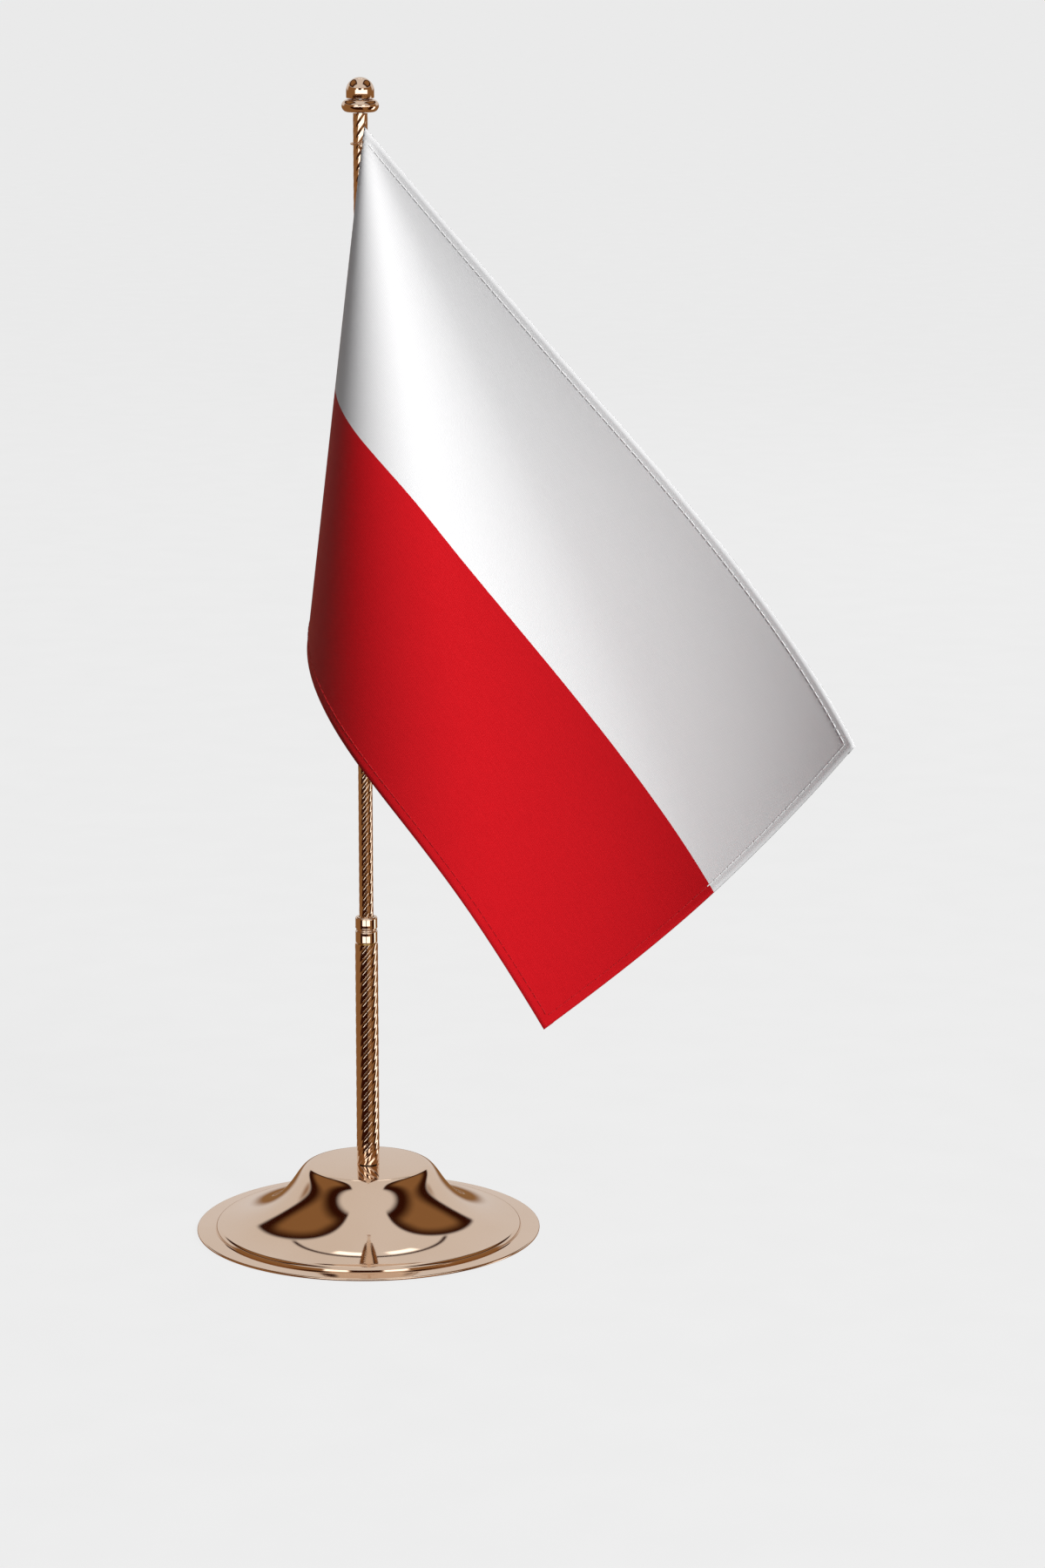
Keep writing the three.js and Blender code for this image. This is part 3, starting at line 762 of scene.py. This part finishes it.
for k in (1, 2, 3):
    ring_node = f"hoist_ring_{k}"
    low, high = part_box(ring_node)
    level = (low.z + high.z) / 2 / MM
    hole = cloth_point(EYELET_OUT, APEX.z - level)
    hole_side = Vector((hole.x, hole.y, 0))
    far_side = -hole_side.normalized() * RING_BACK
    ring_r = (hole_side - far_side).length / 2
    middle = (hole_side + far_side) / 2 + Vector((0, 0, level))
    across = hole_side - far_side
    facing_hole = Matrix.Rotation(math.atan2(across.y, across.x), 3, "Z")
    wire = set_loop(wire_loop(ring_r, WIRE_R, 12, 64), f"wire_ring_{k}",
                    (1, RING_SIDE_R / ring_r, 1), facing_hole, middle)
    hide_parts(ring_node)
    facing_out = cloth_normal(EYELET_OUT, APEX.z - level).to_track_quat("Z", "Y").to_matrix()
    set_loop(wire_loop(EYELET_R, EYELET_WIRE_R, 10, 32), f"eyelet_{k}",
             (1, 1, EYELET_HEIGHT), facing_out, hole)


# ---- table and backdrop ----
# A pale table top that runs out of sight and is evenly bright. Plating doesn't mirror it: it
# mirrors the studio.
TABLE_HALF = 30.0
bm = bmesh.new()
bmesh.ops.create_grid(bm, x_segments=1, y_segments=1, size=TABLE_HALF)
table_mesh = bpy.data.meshes.new("table_top")
bm.to_mesh(table_mesh)
bm.free()
table = bpy.data.objects.new("table_top", table_mesh)
bpy.context.scene.collection.objects.link(table)
table.visible_glossy = False
table.visible_diffuse = False
table_paint, nodes, links = new_material("table_paint")
speck = object_noise(nodes, links, 40.0)
shader = nodes["Principled BSDF"]
links.new(ramp_between(nodes, links, speck, (0.99, 0.99, 0.99), (1.0, 1.0, 1.0)),
          shader.inputs["Emission Color"])
shader.inputs["Base Color"].default_value = (0.04, 0.04, 0.04, 1.0)
shader.inputs["Roughness"].default_value = 0.9
shader.inputs["Specular IOR Level"].default_value = 0.0
shader.inputs["Emission Strength"].default_value = 0.82
table_mesh.materials.append(table_paint)


# ---- studio ----
# Soft light from the front right and from behind, and the room that the plating mirrors: pale
# overhead, brown below and to the sides, and a dark front with bright panels.
PALE = (0.70, 0.66, 0.64)
BROWN = (0.26, 0.13, 0.05)
DARK = (0.030, 0.006, 0.002)
BRIGHT = (1.9, 1.85, 1.8)
FILL = (0.13, 0.13, 0.135)
BACKDROP = (0.85, 0.85, 0.85)
FAR = 2.0                       # past the end of any direction's part
world = bpy.data.worlds.new("studio")
bpy.context.scene.world = world
world.use_nodes = True
nodes, links = world.node_tree.nodes, world.node_tree.links
nodes.clear()
direction = nodes.new("ShaderNodeTexCoord")
axes = nodes.new("ShaderNodeSeparateXYZ")
links.new(direction.outputs["Generated"], axes.inputs["Vector"])
east, north, up = axes.outputs["X"], axes.outputs["Y"], axes.outputs["Z"]


def step_up(value, at, soft):
    """0 below `at` and 1 above it, with a soft change."""
    ranged = nodes.new("ShaderNodeMapRange")
    ranged.interpolation_type = "SMOOTHSTEP"
    ranged.inputs["From Min"].default_value = at - soft
    ranged.inputs["From Max"].default_value = at + soft
    links.new(value, ranged.inputs["Value"])
    return ranged.outputs["Result"]


def between(value, low, high, soft):
    return maths(nodes, links, "SUBTRACT", step_up(value, low, soft), step_up(value, high, soft))


def with_panel(room, colour, *masks):
    """The room with one more panel, where all the masks are on."""
    shape = masks[0]
    for mask in masks[1:]:
        shape = maths(nodes, links, "MULTIPLY", shape, mask)
    return mixed(nodes, links, shape, room, colour)


side = maths(nodes, links, "ABSOLUTE", east)
front = maths(nodes, links, "SUBTRACT", 1.0, step_up(north, -0.42, 0.08))
behind = step_up(north, 0.0, 0.1)
below = between(up, -FAR, 0.0, 0.08)
# the floor, with a bright and a dark strip at the right and a dark patch in front
room = with_panel(PALE, BROWN, between(up, -FAR, 0.02, 0.08))
room = with_panel(room, BRIGHT, below, between(east, 0.72, FAR, 0.04), between(north, 0.05, 0.35, 0.05))
room = with_panel(room, DARK, below, between(east, 0.60, FAR, 0.04), between(north, -0.45, 0.05, 0.05))
room = with_panel(room, DARK, front, between(up, -FAR, -0.06, 0.05), between(east, -FAR, 0.28, 0.05))
# the side walls and the front wall, dark in its middle
room = with_panel(room, BROWN, between(up, -0.15, 0.40, 0.05), between(side, 0.78, FAR, 0.05),
                  between(north, -0.50, 0.45, 0.10))
room = with_panel(room, BROWN, front, between(up, -0.12, 0.42, 0.04))
room = with_panel(room, DARK, front, between(up, 0.12, 0.42, 0.03), between(side, -FAR, 0.19, 0.03))
# bright panels in front: one along the horizon, two above it and a thin one on the floor
room = with_panel(room, BRIGHT, front, between(up, -0.085, 0.13, 0.012), between(east, -0.62, 0.90, 0.05))
room = with_panel(room, BRIGHT, front, between(up, 0.13, 0.36, 0.03), between(side, 0.22, 0.50, 0.03))
room = with_panel(room, BRIGHT, front, between(up, -0.251, -0.226, 0.004), between(side, 0.06, 0.62, 0.04))
# a brown curtain with a dark rim high on each side
room = with_panel(room, DARK, between(side, 0.32, FAR, 0.025), between(up, 0.42, 0.975, 0.03),
                  step_up(north, -0.42, 0.06))
room = with_panel(room, BROWN, between(side, 0.41, FAR, 0.08), between(up, 0.56, 0.92, 0.07),
                  step_up(north, -0.16, 0.14))
# a thin dark rail behind and a pair of small lamps over it
room = with_panel(room, DARK, between(side, -FAR, 0.30, 0.03), between(up, 0.71, 0.735, 0.012), behind)
room = with_panel(room, BRIGHT, between(side, 0.03, 0.12, 0.012), between(up, 0.75, 0.80, 0.012), behind)

rays = nodes.new("ShaderNodeLightPath")
soft_fill = mixed(nodes, links, rays.outputs["Is Diffuse Ray"], room, FILL)
seen = mixed(nodes, links, rays.outputs["Is Camera Ray"], soft_fill, BACKDROP)
background = nodes.new("ShaderNodeBackground")
output = nodes.new("ShaderNodeOutputWorld")
links.new(seen, background.inputs["Color"])
links.new(background.outputs["Background"], output.inputs["Surface"])


def soft_box(name, place, aim, size, power):
    """A square area light that the plating doesn't mirror."""
    data = bpy.data.lights.new(name, "AREA")
    data.size = size
    data.energy = power
    lamp = bpy.data.objects.new(name, data)
    bpy.context.scene.collection.objects.link(lamp)
    lamp.location = place
    lamp.rotation_euler = (Vector(aim) - Vector(place)).to_track_quat("-Z", "Y").to_euler()
    lamp.visible_glossy = False


soft_box("front_key", place=(0.95, -1.35, 0.95), aim=(0.04, -0.05, 0.18), size=0.4, power=32.0)
soft_box("back_fill", place=(0.9, 1.5, 0.9), aim=(0.03, -0.05, 0.18), size=0.8, power=12.0)


# ---- camera ----
# It stands a little above the finial, a step to the right of the pole, and looks straight on
# and down on the base.
DISTANCE = 1.22
HEIGHT = 0.390
SIDE_STEP = 0.045
LOOK_DOWN = 11.9
SENSOR_HEIGHT = 24.0
FRAME_TO_FOCAL = 0.36           # the frame's height as a share of the focal length
camera_data = bpy.data.cameras.new("camera")
camera_data.sensor_fit = "VERTICAL"
camera_data.sensor_height = SENSOR_HEIGHT
camera_data.lens = SENSOR_HEIGHT / FRAME_TO_FOCAL
camera = bpy.data.objects.new("camera", camera_data)
bpy.context.scene.collection.objects.link(camera)
camera.location = (SIDE_STEP, -DISTANCE, HEIGHT)
camera.rotation_euler = (math.radians(90 - LOOK_DOWN), 0, 0)
bpy.context.scene.camera = camera
bpy.context.scene.view_settings.view_transform = "Standard"
